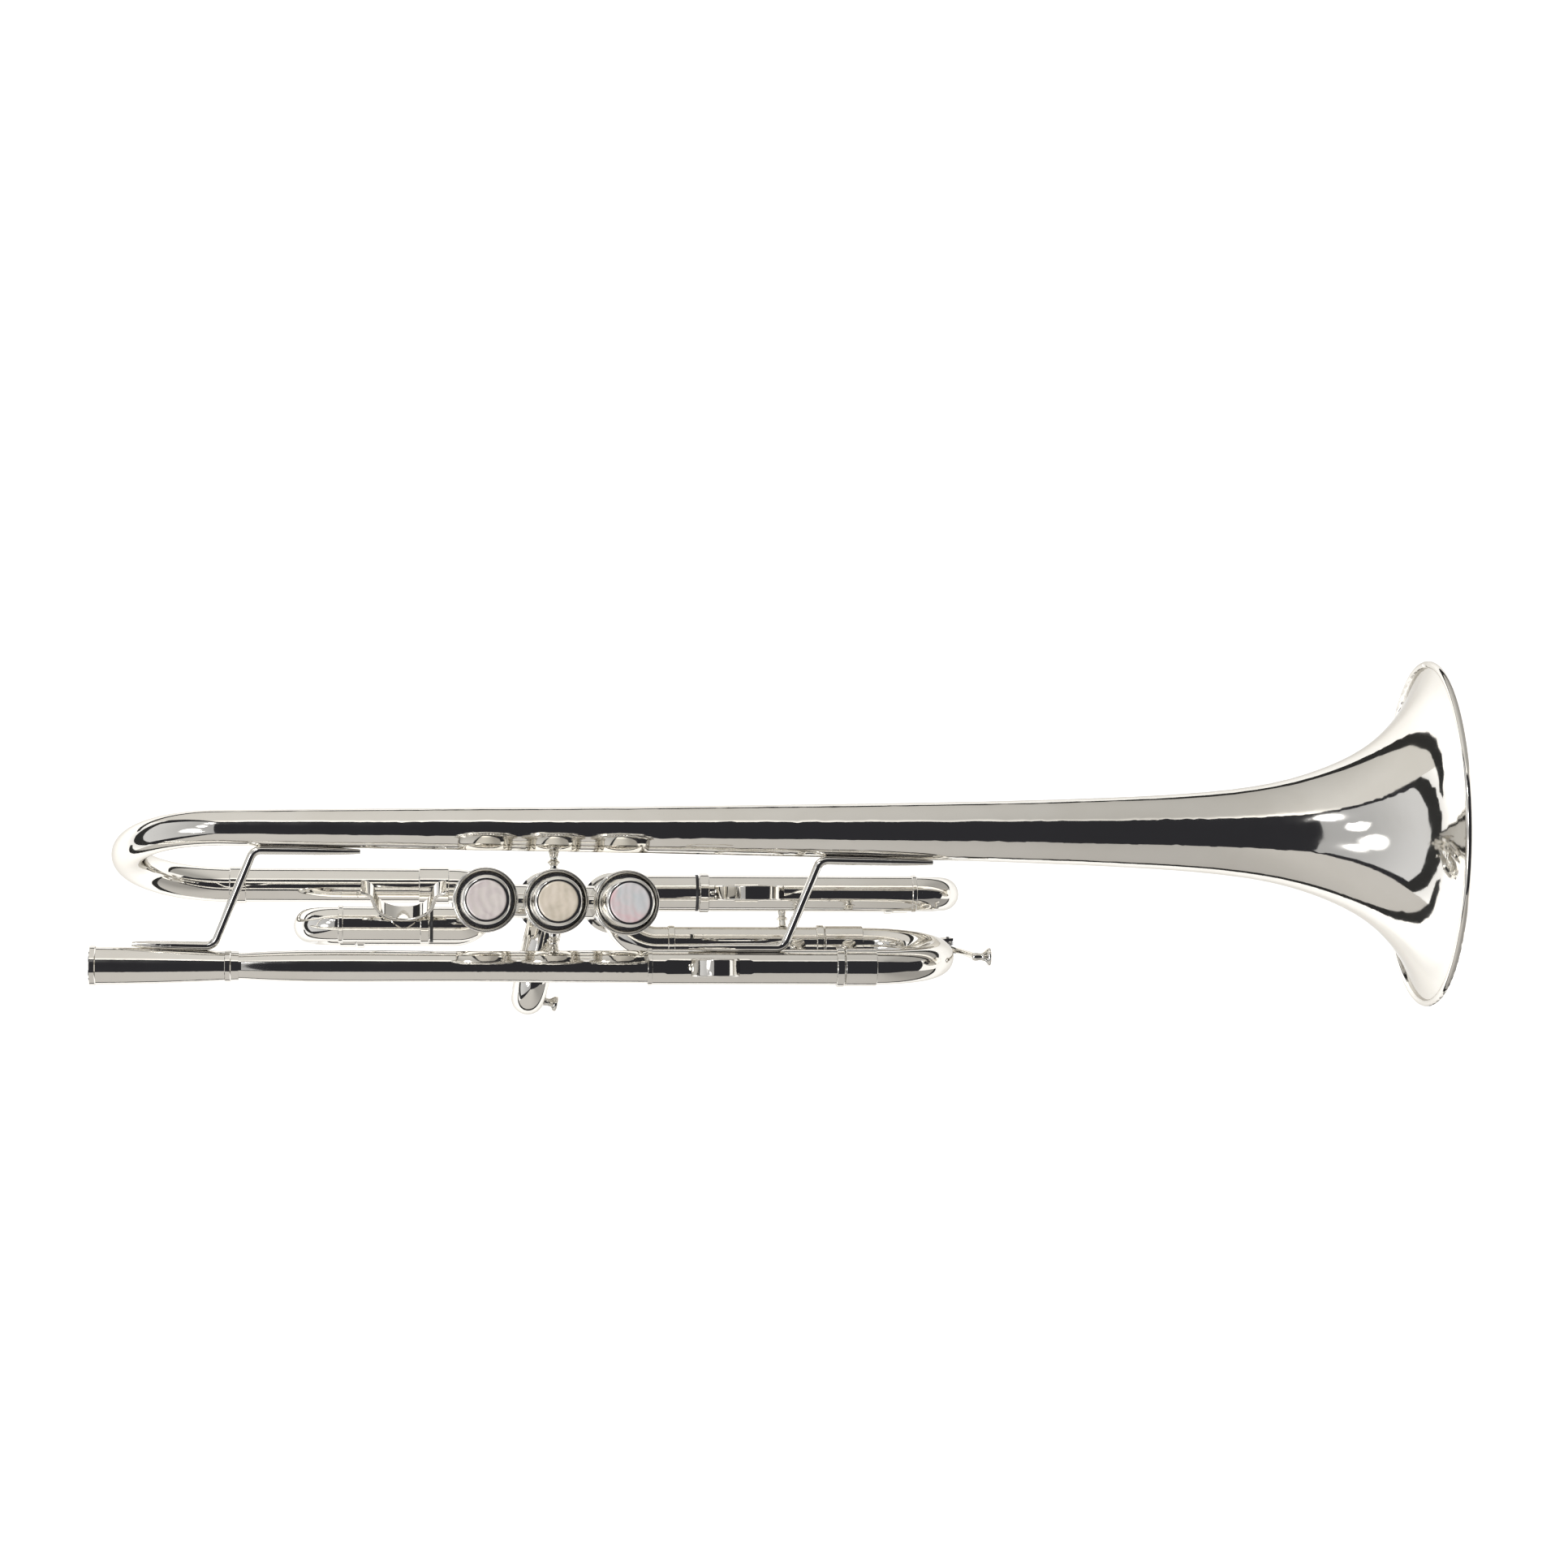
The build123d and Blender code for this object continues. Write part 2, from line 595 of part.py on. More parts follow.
with BuildPart() as knuckles:
    add(first_knuckle)
    add(second_knuckle)
    add(upper_spacer_1)
    add(upper_spacer_2)
    for blank in casing_blank:
        add(blank, mode=Mode.SUBTRACT)

# ---------------------------------------------------------------- stays from valve 2
bell_post = baluster((VALVE_X[1], 31.9, 0), (VALVE_X[1], 41.2, 0), 3.3, 1.5)
lead_post = baluster((VALVE_X[1], 13.7, 0), (VALVE_X[1], 4.9, 0), 3.3, 1.5)

with BuildPart() as valve_stays:
    add(bell_post)
    add(lead_post)
    add(casing_blank[1], mode=Mode.SUBTRACT)
    add(bell_blank, mode=Mode.SUBTRACT)
    add(leadpipe_blank.part, mode=Mode.SUBTRACT)

# ---------------------------------------------------------------- Z shaped braces
BRACE_R = 1.55
TIP_R = 0.8


def z_brace(tip_low, low, bend_low, bend_high, high, tip_high):
    """A bent wire brace whose two feet thin out along the tubes they are soldered to."""
    with BuildLine() as path:
        FilletPolyline(low, bend_low, bend_high, high, radius=4.0)
    rod = bent_tube(path.wires()[0], BRACE_R, 0)
    profile = [(0, TIP_R), (0.25, 1.15), (0.6, 1.4), (1.0, BRACE_R - 0.03)]
    low_in = Vector(*low) + (Vector(*low) - Vector(*tip_low)).normalized() * 0.6
    high_in = Vector(*high) + (Vector(*high) - Vector(*tip_high)).normalized() * 0.6
    with BuildPart() as piece:
        add(rod)
        add(turned(tip_low, low_in, profile))
        add(turned(tip_high, high_in, profile))
    return piece.part


rear_brace_blank = z_brace((14.5, 7.5, 1.0), (28.0, 7.15, 1.0), (42.6, 6.9, 1.0),
                           (56.0, 40.25, 1.0), (72.0, 40.15, 1.0), (93.0, 39.9, 1.0))
front_brace_blank = z_brace((207.5, 6.9, 3.3), (224.0, 6.9, 3.3), (240.8, 6.9, 3.3),
                            (253.6, 37.6, 3.3), (272.0, 37.3, 3.3), (293.5, 36.9, 3.3))

with BuildPart() as brace_rear:
    add(rear_brace_blank)
    add(receiver_blank.part, mode=Mode.SUBTRACT)
    add(bell_blank, mode=Mode.SUBTRACT)

sleeve_blank = tube((SLEEVE_START, 0, 0), (TUNE_RING_X, 0, 0), SLEEVE_R, 0)

with BuildPart() as brace_front:
    add(front_brace_blank)
    add(sleeve_blank, mode=Mode.SUBTRACT)
    add(bell_blank, mode=Mode.SUBTRACT)

# ---------------------------------------------------------------- finger hook
HOOK_WIDTH = 6.3
HOOK_THICK = 1.7
hook_leaf = patch(214.6, 0, 0, SLEEVE_R, 0.7, 20.5, 4.3, pointed=True)
with BuildLine(Plane.XZ) as hook_curve:
    Spline((216.5, 5.6), (211.2, 8.6), (208.6, 14.0), (210.6, 20.0), (216.0, 22.6), (221.0, 20.6),
           (223.6, 16.4))
hook_path = hook_curve.wires()[0]
with BuildPart() as hook_band:
    with BuildSketch(Plane(origin=hook_path @ 0, x_dir=(0, 1, 0), z_dir=hook_path % 0)):
        RectangleRounded(HOOK_WIDTH, HOOK_THICK, 0.6)
    sweep(path=hook_path)

with BuildPart() as finger_hook:
    add(hook_leaf)
    add(hook_band.part)
    add(sleeve_blank, mode=Mode.SUBTRACT)

# ---------------------------------------------------------------- main tuning slide
tune_upper_leg = tube((206.0, 0, 0), (TUNE_CROOK_X, 0, 0), LEG_R, LEG_BORE)
tune_lower_leg = tube((212.0, TUNE_Y, TUNE_Z), (TUNE_CROOK_X, TUNE_Y, TUNE_Z), LEG_R, LEG_BORE)

with BuildPart() as tuning_slide_legs:
    add(tune_upper_leg)
    add(tune_lower_leg)

tune_drop = math.hypot(TUNE_Y, TUNE_Z)
tune_down = Vector(0, TUNE_Y / tune_drop, TUNE_Z / tune_drop)
tune_centre = Vector(TUNE_CROOK_X, TUNE_Y / 2, TUNE_Z / 2)
CROOK_TURN = tune_drop / 2


def on_crook(angle, radius, side=0.0):
    """A point near the tuning crook: degrees round from +X, distance from its centre."""
    a = math.radians(angle)
    across = Vector(1, 0, 0).cross(tune_down)
    return (tune_centre + Vector(1, 0, 0) * (radius * math.cos(a)) + tune_down * (radius * math.sin(a))
            + across * side)


with BuildLine() as crook_path:
    ThreePointArc(on_crook(-90, CROOK_TURN), on_crook(0, CROOK_TURN), on_crook(90, CROOK_TURN))
crook_tube = bent_tube(crook_path.wires()[0], CROOK_R, CROOK_BORE)
crook_blank = bent_tube(crook_path.wires()[0], CROOK_R, 0)
upper_ferrule = ring(TUNE_RING_X + GAP, TUNE_CROOK_X, 0, 0, FERRULE_R, LEG_R)
lower_ferrule = ring(TUNE_LOW_RING_X + GAP, TUNE_CROOK_X, TUNE_Y, TUNE_Z, FERRULE_R, LEG_R)
slide_stay = baluster(Vector(268.5, 0, 0) + tune_down * 6.4,
                      Vector(268.5, TUNE_Y, TUNE_Z) - tune_down * 6.4, 2.9, 1.5)

with BuildPart() as tuning_crook:
    add(crook_tube)
    add(upper_ferrule)
    add(lower_ferrule)
    add(slide_stay)

# ---------------------------------------------------------------- main water key
KEY_ANGLE = 27.0
KEY_RADIUS = CROOK_TURN + 9.6
NIPPLE_ANGLE = 62.0
key_axis_dir = Vector(1, 0, 0).cross(tune_down)
key_centre = on_crook(KEY_ANGLE, KEY_RADIUS)
PIN_R = 0.6
POST_SIDE = 3.4

nipple = tube(on_crook(NIPPLE_ANGLE, CROOK_TURN + 4.5), on_crook(NIPPLE_ANGLE, CROOK_TURN + 8.0), 3.1, 0)
nipple_bore = tube(on_crook(NIPPLE_ANGLE, CROOK_TURN), on_crook(NIPPLE_ANGLE, CROOK_TURN + 9.0), 1.6, 0)


def key_post(side):
    """One upright of the water key's saddle, drilled for the pin."""
    inner = on_crook(KEY_ANGLE, CROOK_TURN + 4.6, side)
    outer = on_crook(KEY_ANGLE, KEY_RADIUS + 1.3, side)
    radial = (outer - inner).normalized()
    with BuildPart() as piece:
        with BuildSketch(Plane(origin=inner, x_dir=key_axis_dir, z_dir=radial)):
            Rectangle(1.1, 3.4)
        extrude(amount=(outer - inner).length)
    return piece.part


left_post = key_post(POST_SIDE)
right_post = key_post(-POST_SIDE)
pin_hole = tube(key_centre - key_axis_dir * 5, key_centre + key_axis_dir * 5, PIN_R, 0)

with BuildPart() as water_key_saddle:
    add(left_post)
    add(right_post)
    add(nipple)
    add(nipple_bore, mode=Mode.SUBTRACT)
    add(crook_blank, mode=Mode.SUBTRACT)
    add(pin_hole, mode=Mode.SUBTRACT)

with BuildPart() as water_key_pin:
    add(tube(key_centre - key_axis_dir * 4.4, key_centre + key_axis_dir * 4.4, PIN_R, 0))

KEY_WIRE = 0.28
KEY_COIL_R = 1.95
KEY_COIL_PITCH = 0.6
KEY_COIL_LENGTH = 1.7 * KEY_COIL_PITCH
KEY_COIL_START = 1.5
toe_dir = (on_crook(NIPPLE_ANGLE - 14, CROOK_TURN + 11.6) - key_centre).normalized()
arm_heel = on_crook(KEY_ANGLE - 14, CROOK_TURN + 6.45)
heel_dir = (arm_heel - key_centre).normalized()
heel_reach = (arm_heel - key_centre).length - KEY_COIL_R
COIL_STEPS = 240


def coil_root(wire, direction):
    """The point of a coil that lies farthest out along a direction."""
    points = [wire @ (step / COIL_STEPS) for step in range(COIL_STEPS + 1)]
    return max(points, key=lambda point: (point - key_centre).dot(direction))


key_coils = []
for sign in (1, -1):
    with BuildLine() as key_coil:
        Helix(pitch=KEY_COIL_PITCH, height=KEY_COIL_LENGTH, radius=KEY_COIL_R,
              center=key_centre + key_axis_dir * (KEY_COIL_START * sign), direction=key_axis_dir * sign)
    coil_wire = key_coil.wires()[0]
    with BuildPart() as coil_part:
        with BuildSketch(Plane(origin=coil_wire @ 0, z_dir=coil_wire % 0)):
            Circle(KEY_WIRE)
        sweep(path=coil_wire, is_frenet=True)
    key_coils.append(coil_part.part)
    toe_root = coil_root(coil_wire, toe_dir)
    heel_root = coil_root(coil_wire, heel_dir)
    key_coils.append(tube(toe_root, toe_root + toe_dir * 5.6, KEY_WIRE - 0.04, 0))
    key_coils.append(tube(heel_root, heel_root + heel_dir * heel_reach, KEY_WIRE - 0.04, 0))

with BuildPart() as water_key_spring:
    for coil in key_coils:
        add(coil)

with BuildPart() as tuning_crook_drilled:
    add(tuning_crook.part)
    add(tube(on_crook(NIPPLE_ANGLE, CROOK_TURN + 2), on_crook(NIPPLE_ANGLE, CROOK_TURN + 9), 1.6, 0),
        mode=Mode.SUBTRACT)

CORK_BOTTOM = CROOK_TURN + 8.05
cork_seat = on_crook(NIPPLE_ANGLE, CORK_BOTTOM)
cork_back = on_crook(NIPPLE_ANGLE, CORK_BOTTOM + 2.2)
cup_back = on_crook(NIPPLE_ANGLE, CORK_BOTTOM + 3.0)
cork_dir = (cork_back - cork_seat).normalized()
touch_neck = on_crook(-3.0, CROOK_TURN + 14.0)
touch_end = touch_neck + Vector(5.4, 0, 0)

with BuildPart() as water_key_cork:
    add(tube(cork_seat, cork_back, 3.1, 0))

with BuildLine() as lever_line:
    Spline(cup_back - cork_dir * 0.4, key_centre, touch_neck)
lever_rod = bent_tube(lever_line.wires()[0], 1.15, 0)
lever_hub = tube(key_centre - key_axis_dir * 2.5, key_centre + key_axis_dir * 2.5, 1.3, 0)
cork_cup = tube(cork_seat + cork_dir * 0.9, cup_back, 3.6, 0)
cork_cup_bore = tube(cork_seat, cork_back, 3.1, 0)
touch_knob = turned(touch_neck - Vector(1.2, 0, 0), touch_end,
                    [(0, 1.2), (0.2, 1.5), (0.5, 1.35), (0.85, 3.2), (0.94, 3.35), (1.0, 2.9)])

with BuildPart() as water_key_lever:
    add(lever_rod)
    add(lever_hub)
    add(cork_cup)
    add(touch_knob)
    add(cork_cup_bore, mode=Mode.SUBTRACT)
    add(tube(key_centre - key_axis_dir * 5, key_centre + key_axis_dir * 5, PIN_R + 0.05, 0),
        mode=Mode.SUBTRACT)

# ---------------------------------------------------------------- third valve slide
THIRD_LOW_Y = 25.6
THIRD_LOW_END = 285.6
third_knuckle = tube((VALVE_X[2], THIRD_Y, THIRD_Z), (THIRD_RING_X - 1.4, THIRD_Y, THIRD_Z),
                     SLEEVE_R, LEG_BORE)
third_inner = tube((205.0, THIRD_Y, THIRD_Z), (286.0, THIRD_Y, THIRD_Z), LEG_R, LEG_BORE)
third_low_sleeve = tube((VALVE_X[2], THIRD_LOW_Y, THIRD_LOW_Z), (THIRD_LOW_END, THIRD_LOW_Y, THIRD_LOW_Z),
                        SLEEVE_R, SLEEVE_BORE)
third_low_ring = ring(THIRD_LOW_END - 2.8, THIRD_LOW_END, THIRD_LOW_Y, THIRD_LOW_Z, END_RING_R, SLEEVE_BORE)

with BuildPart() as third_slide_fixed:
    add(third_knuckle)
    add(third_inner)
    add(third_low_sleeve)
    add(third_low_ring)
    add(casing_blank[2], mode=Mode.SUBTRACT)

third_outer_leg = tube((THIRD_RING_X, THIRD_Y, THIRD_Z), (THIRD_CROOK_X, THIRD_Y, THIRD_Z),
                       SLEEVE_R, SLEEVE_BORE)
third_ring_ferrule = ring(THIRD_RING_X, THIRD_RING_X + 3.4, THIRD_Y, THIRD_Z, END_RING_R, SLEEVE_BORE)
third_crook_collar = ring(THIRD_CROOK_X - 1.8, THIRD_CROOK_X, THIRD_Y, THIRD_Z, FERRULE_R, SLEEVE_BORE)
third_low_leg = tube((233.0, THIRD_LOW_Y, THIRD_LOW_Z), (THIRD_CROOK_X, THIRD_LOW_Y, THIRD_LOW_Z),
                     LEG_R, LEG_BORE)
third_low_ferrule = ring(THIRD_LOW_END + GAP, THIRD_CROOK_X, THIRD_LOW_Y, THIRD_LOW_Z, FERRULE_R, LEG_R)
third_crook_path = u_path(THIRD_CROOK_X, THIRD_Y, THIRD_Z, THIRD_LOW_Y, THIRD_LOW_Z, 10.6, 9.6)
third_crook = bent_tube(third_crook_path, CROOK_R, LEG_BORE)

with BuildPart() as third_slide:
    add(third_outer_leg)
    add(third_ring_ferrule)
    add(third_crook_collar)
    add(third_low_leg)
    add(third_low_ferrule)
    add(third_crook)

FINGER_RING_X = 229.8
FINGER_RING_R = 12.4
FINGER_RING_BORE = 10.7
FINGER_RING_Z = THIRD_Z + SLEEVE_R + FINGER_RING_R + 0.1
ring_leaf = patch(FINGER_RING_X, THIRD_Y, THIRD_Z, SLEEVE_R, 0.7, 5.5, 4.4)
with BuildPart() as finger_ring_band:
    with BuildSketch(Plane(origin=(FINGER_RING_X, THIRD_Y + 2.65, FINGER_RING_Z),
                           x_dir=(1, 0, 0), z_dir=(0, -1, 0))):
        Circle(FINGER_RING_R)
        Circle(FINGER_RING_BORE, mode=Mode.SUBTRACT)
    extrude(amount=5.3)
    fillet(finger_ring_band.edges().filter_by(GeomType.CIRCLE), 0.55)

with BuildPart() as third_slide_ring:
    add(ring_leaf)
    add(finger_ring_band.part)
    add(tube((200, THIRD_Y, THIRD_Z), (260, THIRD_Y, THIRD_Z), SLEEVE_R, 0), mode=Mode.SUBTRACT)

# ---------------------------------------------------------------- first valve slide
first_knuckle_path = elbow_path(FIRST_RING_X + 1.4, FIRST_Y, FIRST_Z, 0, -1)
first_elbow = bent_tube(first_knuckle_path, SLEEVE_R, LEG_BORE)
first_inner = tube((122.0, FIRST_Y, FIRST_Z), (88.0, FIRST_Y, FIRST_Z), LEG_R, LEG_BORE)
FIRST_LOW_END = 91.0
first_low_path = elbow_path(FIRST_LOW_END, FIRST_LOW_Y, FIRST_LOW_Z, 0, -1)
first_low_sleeve = bent_tube(first_low_path, SLEEVE_R, SLEEVE_BORE)
first_low_ring = ring(FIRST_LOW_END, FIRST_LOW_END + 2.8, FIRST_LOW_Y, FIRST_LOW_Z, END_RING_R, SLEEVE_BORE)

with BuildPart() as first_slide_fixed:
    add(first_elbow)
    add(first_inner)
    add(first_low_sleeve)
    add(first_low_ring)
    add(casing_blank[0], mode=Mode.SUBTRACT)

first_outer_leg = tube((FIRST_CROOK_X, FIRST_Y, FIRST_Z), (FIRST_RING_X, FIRST_Y, FIRST_Z),
                       SLEEVE_R, SLEEVE_BORE)
first_ring_ferrule = ring(FIRST_RING_X - 3.2, FIRST_RING_X, FIRST_Y, FIRST_Z, END_RING_R, SLEEVE_BORE)
first_crook_collar = ring(FIRST_CROOK_X, FIRST_CROOK_X + 1.8, FIRST_Y, FIRST_Z, FERRULE_R, SLEEVE_BORE)
first_low_leg = tube((FIRST_CROOK_X, FIRST_LOW_Y, FIRST_LOW_Z), (121.0, FIRST_LOW_Y, FIRST_LOW_Z),
                     LEG_R, LEG_BORE)
first_low_ferrule = ring(FIRST_CROOK_X, FIRST_LOW_END - GAP, FIRST_LOW_Y, FIRST_LOW_Z, FERRULE_R, LEG_R)
first_crook_path = u_path(FIRST_CROOK_X, FIRST_Y, FIRST_Z, FIRST_LOW_Y, FIRST_LOW_Z, -10.0, 9.4)
first_crook = bent_tube(first_crook_path, CROOK_R, LEG_BORE)

with BuildPart() as first_slide:
    add(first_outer_leg)
    add(first_ring_ferrule)
    add(first_crook_collar)
    add(first_low_leg)
    add(first_low_ferrule)
    add(first_crook)

# thumb saddle: an open U of strip on the upper leg, leaning over towards the bell side
SADDLE_X = 108.0
SADDLE_LEAN = 32.0
SADDLE_THICK = 1.4
SADDLE_WIDTH = 5.8
SADDLE_HEIGHT = 17.2
SADDLE_HALF = 10.6
SADDLE_LIP = 4.2
saddle_lean_rad = math.radians(SADDLE_LEAN)
saddle_plane = Plane(origin=(SADDLE_X, FIRST_Y, FIRST_Z), x_dir=(1, 0, 0),
                     z_dir=(0, -math.cos(saddle_lean_rad), math.sin(saddle_lean_rad)))
saddle_floor = SLEEVE_R + 0.85
with BuildLine(saddle_plane) as saddle_curve:
    Spline((-SADDLE_HALF - SADDLE_LIP, saddle_floor + SADDLE_HEIGHT + 0.3),
           (-SADDLE_HALF - 1.2, saddle_floor + SADDLE_HEIGHT - 1.6),
           (-SADDLE_HALF + 0.2, saddle_floor + SADDLE_HEIGHT * 0.6),
           (-SADDLE_HALF * 0.72, saddle_floor + 3.6),
           (0, saddle_floor),
           (SADDLE_HALF * 0.72, saddle_floor + 3.6),
           (SADDLE_HALF - 0.2, saddle_floor + SADDLE_HEIGHT * 0.6),
           (SADDLE_HALF + 1.2, saddle_floor + SADDLE_HEIGHT - 1.6),
           (SADDLE_HALF + SADDLE_LIP, saddle_floor + SADDLE_HEIGHT + 0.3))
saddle_path = saddle_curve.wires()[0]
with BuildPart() as saddle_band:
    with BuildSketch(Plane(origin=saddle_path @ 0, x_dir=saddle_plane.z_dir, z_dir=saddle_path % 0)):
        RectangleRounded(SADDLE_WIDTH, SADDLE_THICK, 0.5)
    sweep(path=saddle_path)
saddle_leaf = patch(SADDLE_X, FIRST_Y, FIRST_Z, SLEEVE_R, 0.8, 5.2, 4.4)
saddle_leaf = saddle_leaf.rotate(Axis((0, FIRST_Y, FIRST_Z), (1, 0, 0)), -SADDLE_LEAN)

with BuildPart() as first_slide_saddle:
    add(saddle_leaf)
    add(saddle_band.part)
    add(tube((80, FIRST_Y, FIRST_Z), (FIRST_RING_X + 10, FIRST_Y, FIRST_Z), SLEEVE_R, 0),
        mode=Mode.SUBTRACT)

# ---------------------------------------------------------------- rubber rings on the two outer legs
with BuildPart() as slide_bumpers:
    add(ring(THIRD_RING_X - 1.4, THIRD_RING_X - GAP, THIRD_Y, THIRD_Z, 6.5, LEG_R, 0.3))
    add(ring(FIRST_RING_X + GAP, FIRST_RING_X + 1.4, FIRST_Y, FIRST_Z, 6.5, LEG_R, 0.3))

# ---------------------------------------------------------------- second valve slide
swing_rad = math.radians(SECOND_SWING)
second_dir = Vector(-math.sin(swing_rad), -math.cos(swing_rad), 0)
second_side = Vector(math.cos(swing_rad), -math.sin(swing_rad), 0)
SECOND_CROOK_AT = 27.4
SECOND_RING_AT = 24.6


def on_second(along, z, side=0.0):
    """A point by the second slide: distance out from valve 2's axis, height, sideways."""
    return Vector(VALVE_X[1], VALVE_Y[1], z) + second_dir * along + second_side * side


second_sleeves = []
second_legs = []
for z in (SECOND_Z, SECOND_LOW_Z):
    second_sleeves.append(tube(on_second(4, z), on_second(SECOND_RING_AT, z), SLEEVE_R, SLEEVE_BORE))
    second_sleeves.append(tube(on_second(SECOND_RING_AT - 2.4, z), on_second(SECOND_RING_AT, z),
                               FERRULE_R, SLEEVE_BORE))
    second_legs.append(tube(on_second(11.5, z), on_second(SECOND_CROOK_AT, z), LEG_R, LEG_BORE))
    second_legs.append(tube(on_second(SECOND_RING_AT + GAP, z), on_second(SECOND_CROOK_AT, z),
                            FERRULE_R - 0.1, LEG_R))

with BuildPart() as second_slide_fixed:
    for solid in second_sleeves:
        add(solid)
    add(casing_blank[1], mode=Mode.SUBTRACT)

with BuildLine() as second_path:
    FilletPolyline(on_second(SECOND_CROOK_AT, SECOND_Z), on_second(35.4, SECOND_Z),
                   on_second(35.4, SECOND_LOW_Z), on_second(SECOND_CROOK_AT, SECOND_LOW_Z), radius=7.9)
second_crook = bent_tube(second_path.wires()[0], CROOK_R, LEG_BORE)
second_crook_blank = bent_tube(second_path.wires()[0], CROOK_R, 0)
KNOB_Z = (SECOND_Z + SECOND_LOW_Z) / 2 - 3.0

second_knob = turned(on_second(35.4, KNOB_Z, 5.3), on_second(35.4, KNOB_Z, 11.2),
                     [(0, 2.6), (0.25, 1.5), (0.45, 1.45), (0.75, 2.7), (0.9, 2.75), (1.0, 1.9)])

with BuildPart() as second_slide:
    add(second_knob)
    add(second_crook_blank, mode=Mode.SUBTRACT)
    for solid in second_legs:
        add(solid)
    add(second_crook)

# ---------------------------------------------------------------- stays between the fixed slide tubes
tune_low_blank = tube((200, TUNE_Y, TUNE_Z), (262, TUNE_Y, TUNE_Z), SLEEVE_R, 0)
third_low_blank = tube((200, THIRD_LOW_Y, THIRD_LOW_Z), (262, THIRD_LOW_Y, THIRD_LOW_Z), SLEEVE_R, 0)
side_vector = Vector(0, THIRD_LOW_Y - TUNE_Y, THIRD_LOW_Z - TUNE_Z).normalized()
third_stay = baluster(Vector(245, TUNE_Y, TUNE_Z) + side_vector * 5.9,
                      Vector(245, THIRD_LOW_Y, THIRD_LOW_Z) - side_vector * 5.9, 2.7, 1.4)
sleeve_stay = baluster(Vector(250, 0, 0) + tune_down * 5.9,
                       Vector(250, TUNE_Y, TUNE_Z) - tune_down * 5.9, 3.0, 1.5)

with BuildPart() as slide_stays:
    add(third_stay)
    add(sleeve_stay)
    add(tune_low_blank, mode=Mode.SUBTRACT)
    add(third_low_blank, mode=Mode.SUBTRACT)
    add(sleeve_blank, mode=Mode.SUBTRACT)

# ---------------------------------------------------------------- write the pieces
pieces = {
    "mouthpiece_receiver": mouthpiece_receiver,
    "leadpipe": leadpipe,
    "tuning_sleeve_upper": tuning_sleeve_upper,
    "tuning_sleeve_lower": tuning_sleeve_lower,
    "bell": bell,
    "bell_rim_wire": bell_rim_wire,
    "rear_bow": rear_bow,
    "bell_tail": bell_tail,
    "knuckles": knuckles,
    "valve_stays": valve_stays,
    "brace_rear": brace_rear,
    "brace_front": brace_front,
    "finger_hook": finger_hook,
    "tuning_slide_legs": tuning_slide_legs,
    "tuning_crook": tuning_crook_drilled,
    "water_key_saddle": water_key_saddle,
    "water_key_pin": water_key_pin,
    "water_key_spring": water_key_spring,
    "water_key_cork": water_key_cork,
    "water_key_lever": water_key_lever,
    "third_slide_fixed": third_slide_fixed,
    "third_slide": third_slide,
    "third_slide_ring": third_slide_ring,
    "first_slide_fixed": first_slide_fixed,
    "first_slide": first_slide,
    "first_slide_saddle": first_slide_saddle,
    "slide_bumpers": slide_bumpers,
    "second_slide_fixed": second_slide_fixed,
    "second_slide": second_slide,
    "slide_stays": slide_stays,
}
pieces.update(valve_pieces)
for piece_name, piece in pieces.items():
    piece.part.label = piece_name
    export_step(piece.part, f"parts/{piece_name}.step")
print(len(pieces), "pieces written")
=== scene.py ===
"""Looks for the silver-plated trumpet: materials, cap lips, valve springs, studio and camera."""
import math

import bpy
from mathutils import Matrix, Vector


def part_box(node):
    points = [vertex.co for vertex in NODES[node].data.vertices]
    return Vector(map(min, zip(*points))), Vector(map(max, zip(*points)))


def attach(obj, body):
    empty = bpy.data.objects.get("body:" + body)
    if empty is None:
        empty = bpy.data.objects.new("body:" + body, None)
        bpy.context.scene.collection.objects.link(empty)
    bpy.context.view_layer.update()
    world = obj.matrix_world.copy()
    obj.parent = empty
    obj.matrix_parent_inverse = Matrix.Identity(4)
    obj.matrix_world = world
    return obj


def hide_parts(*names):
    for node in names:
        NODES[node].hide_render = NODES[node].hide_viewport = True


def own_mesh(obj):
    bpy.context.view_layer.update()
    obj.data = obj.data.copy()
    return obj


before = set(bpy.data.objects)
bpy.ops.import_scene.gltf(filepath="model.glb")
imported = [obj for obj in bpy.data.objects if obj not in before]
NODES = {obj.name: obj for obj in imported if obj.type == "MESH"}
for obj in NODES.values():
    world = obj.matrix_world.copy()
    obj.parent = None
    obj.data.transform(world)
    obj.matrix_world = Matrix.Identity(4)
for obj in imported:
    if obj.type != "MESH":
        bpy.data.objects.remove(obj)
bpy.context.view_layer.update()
VALVES = (1, 2, 3)


def valve_axis(valve):
    """Where a valve's axis stands, from the middle of its round casing."""
    low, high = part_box("valve_casing_%d" % valve)
    return (low.x + high.x) / 2, (low.y + high.y) / 2


VALVE_AXES = [valve_axis(valve) for valve in VALVES]


def in_scene(name, data):
    """A new object of the scene that shows the given mesh, lamp or camera."""
    obj = bpy.data.objects.new(name, data)
    bpy.context.scene.collection.objects.link(obj)
    return obj


# ------------------------------------------------------------------ shader building blocks
def principled(tree):
    return next(node for node in tree.nodes if node.type == "BSDF_PRINCIPLED")


def new_material(name):
    mat = bpy.data.materials.new(name)
    mat.use_nodes = True
    return mat, mat.node_tree, principled(mat.node_tree)


def add(tree, kind, **values):
    """A new node; each value goes to the input of that name, or else to the node's property."""
    node = tree.nodes.new(kind)
    for key, value in values.items():
        if key in node.inputs:
            node.inputs[key].default_value = value
        else:
            setattr(node, key, value)
    return node


def object_place(tree):
    """The shaded point in the object's own axes, in metres."""
    return tree.nodes.new("ShaderNodeTexCoord").outputs["Object"]


